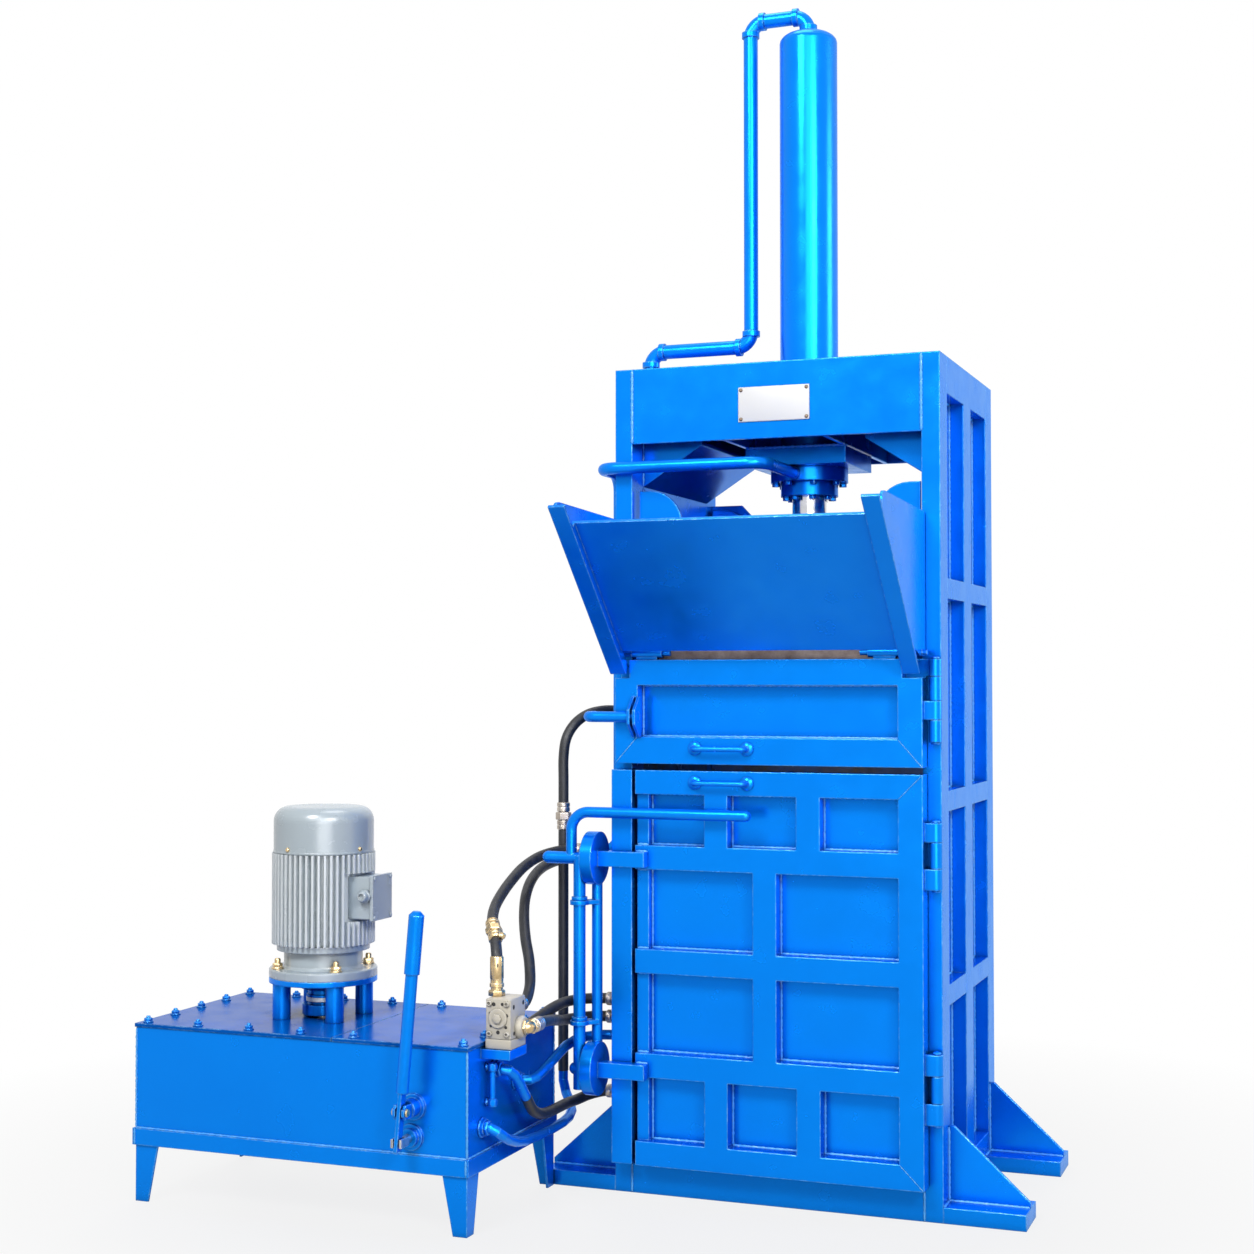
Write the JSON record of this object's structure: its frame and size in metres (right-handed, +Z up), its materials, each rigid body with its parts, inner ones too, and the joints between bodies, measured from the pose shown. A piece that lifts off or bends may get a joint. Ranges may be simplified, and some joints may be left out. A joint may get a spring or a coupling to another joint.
{
  "type": "vertical baling press",
  "caption": "Upright hydraulic baling press with hinged doors, a feed hopper and a ram, joined by hoses to a separate oil tank with an upright motor and a hand lever.",
  "frame": {"origin": "on the floor under the middle of the press body, on the underside of the middle base beam", "axes": "+X to the right along the front of the press, +Y to its back, +Z up; the doors face -Y and the power unit stands on the -X side"},
  "size_m": [2.327, 1.3979, 3.3859],
  "materials": {
    "blue_paint": "gloss",
    "grey_paint": "satin",
    "chrome": "polished",
    "steel": "satin",
    "valve_body": "satin",
    "brass": "satin",
    "hose_rubber": "satin"
  },
  "bodies": {
    "frame": {"column_front_left": "blue_paint", "column_front_right": "blue_paint", "column_rear_left": "blue_paint", "column_rear_right": "blue_paint", "side_wall_left": "blue_paint", "side_wall_right": "blue_paint", "back_wall": "blue_paint", "base_frame": "blue_paint", "lock_post": "blue_paint", "top_beam": "blue_paint", "cylinder_bed": "blue_paint", "brace_left": "blue_paint", "brace_right": "blue_paint", "foot_front_left": "blue_paint", "foot_front_right": "blue_paint", "foot_rear_left": "blue_paint", "foot_rear_right": "blue_paint", "cylinder_tube": "blue_paint", "cylinder_flange": "blue_paint", "rod_gland": "blue_paint", "cylinder_bolts": "steel", "cap_pipe": "blue_paint", "rod_pipe": "blue_paint", "frame_knuckles": "blue_paint", "hinge_pins": "steel", "oil_tank": "blue_paint", "tank_legs": "blue_paint", "tank_lid": "blue_paint", "lid_bolts": "blue_paint", "motor_frame": "grey_paint", "fan_cowl": "grey_paint", "motor_flange": "grey_paint", "terminal_box": "grey_paint", "motor_stand": "blue_paint", "pump": "steel", "valve_block": "valve_body", "brass_fittings": "brass", "level_gauge": "blue_paint", "tank_pipes": "blue_paint", "hose_return": "hose_rubber", "hose_rod_end": "hose_rubber", "hose_cap_end": "hose_rubber", "hose_supply": "hose_rubber", "hose_drain": "hose_rubber", "hose_low": "hose_rubber"},
    "ram": {"piston_rod": "chrome", "piston": "steel", "platen": "blue_paint"},
    "upper_door": {"upper_door": "blue_paint", "upper_handle": "blue_paint", "hopper": "blue_paint"},
    "upper_latch": {"upper_latch": "blue_paint"},
    "lower_door": {"lower_door": "blue_paint", "lower_handle": "blue_paint", "lock_arms": "blue_paint"},
    "lock_bar": {"lock_bar": "blue_paint"},
    "rotor": {"motor_shaft": "steel", "shaft_coupling": "blue_paint"},
    "hand_lever": {"hand_lever": "blue_paint"},
    "valve_spool": {"valve_spool": "steel"}
  },
  "joints": [
    {"name": "ram_slide", "type": "slide", "parent": "frame", "child": "ram", "axis": [0, 0, -1], "range_m": [-0.1, 1]},
    {"name": "upper_door_hinge", "type": "hinge", "parent": "frame", "child": "upper_door", "pos_m": [0.45, -0.397, 1.33], "axis": [0, 0, 1], "range_deg": [0, 110]},
    {"name": "upper_latch_turn", "type": "hinge", "parent": "upper_door", "child": "upper_latch", "pos_m": [-0.4, -0.456, 1.318], "axis": [1, 0, 0], "range_deg": [0, 100]},
    {"name": "lower_door_hinge", "type": "hinge", "parent": "frame", "child": "lower_door", "pos_m": [0.45, -0.397, 0.65], "axis": [0, 0, 1], "range_deg": [0, 120]},
    {"name": "lock_turn", "type": "hinge", "parent": "lower_door", "child": "lock_bar", "pos_m": [-0.53, -0.464, 0.65], "axis": [0, 0, -1], "range_deg": [0, 90]},
    {"name": "motor_spin", "type": "hinge", "parent": "frame", "child": "rotor", "pos_m": [-1.228, -0.65, 0.55], "axis": [0, 0, 1], "continuous": true},
    {"name": "lever_turn", "type": "hinge", "parent": "frame", "child": "hand_lever", "pos_m": [-0.797, -1.008, 0.321], "axis": [1, 0, 0], "range_deg": [-12, 12]},
    {"name": "spool_slide", "type": "slide", "parent": "frame", "child": "valve_spool", "axis": [0, 1, 0], "range_m": [-0.02, 0.02]}
  ],
  "couplings": [
    {"joint": "spool_slide", "follows": "lever_turn", "m_per_rad": 0.078}
  ]
}
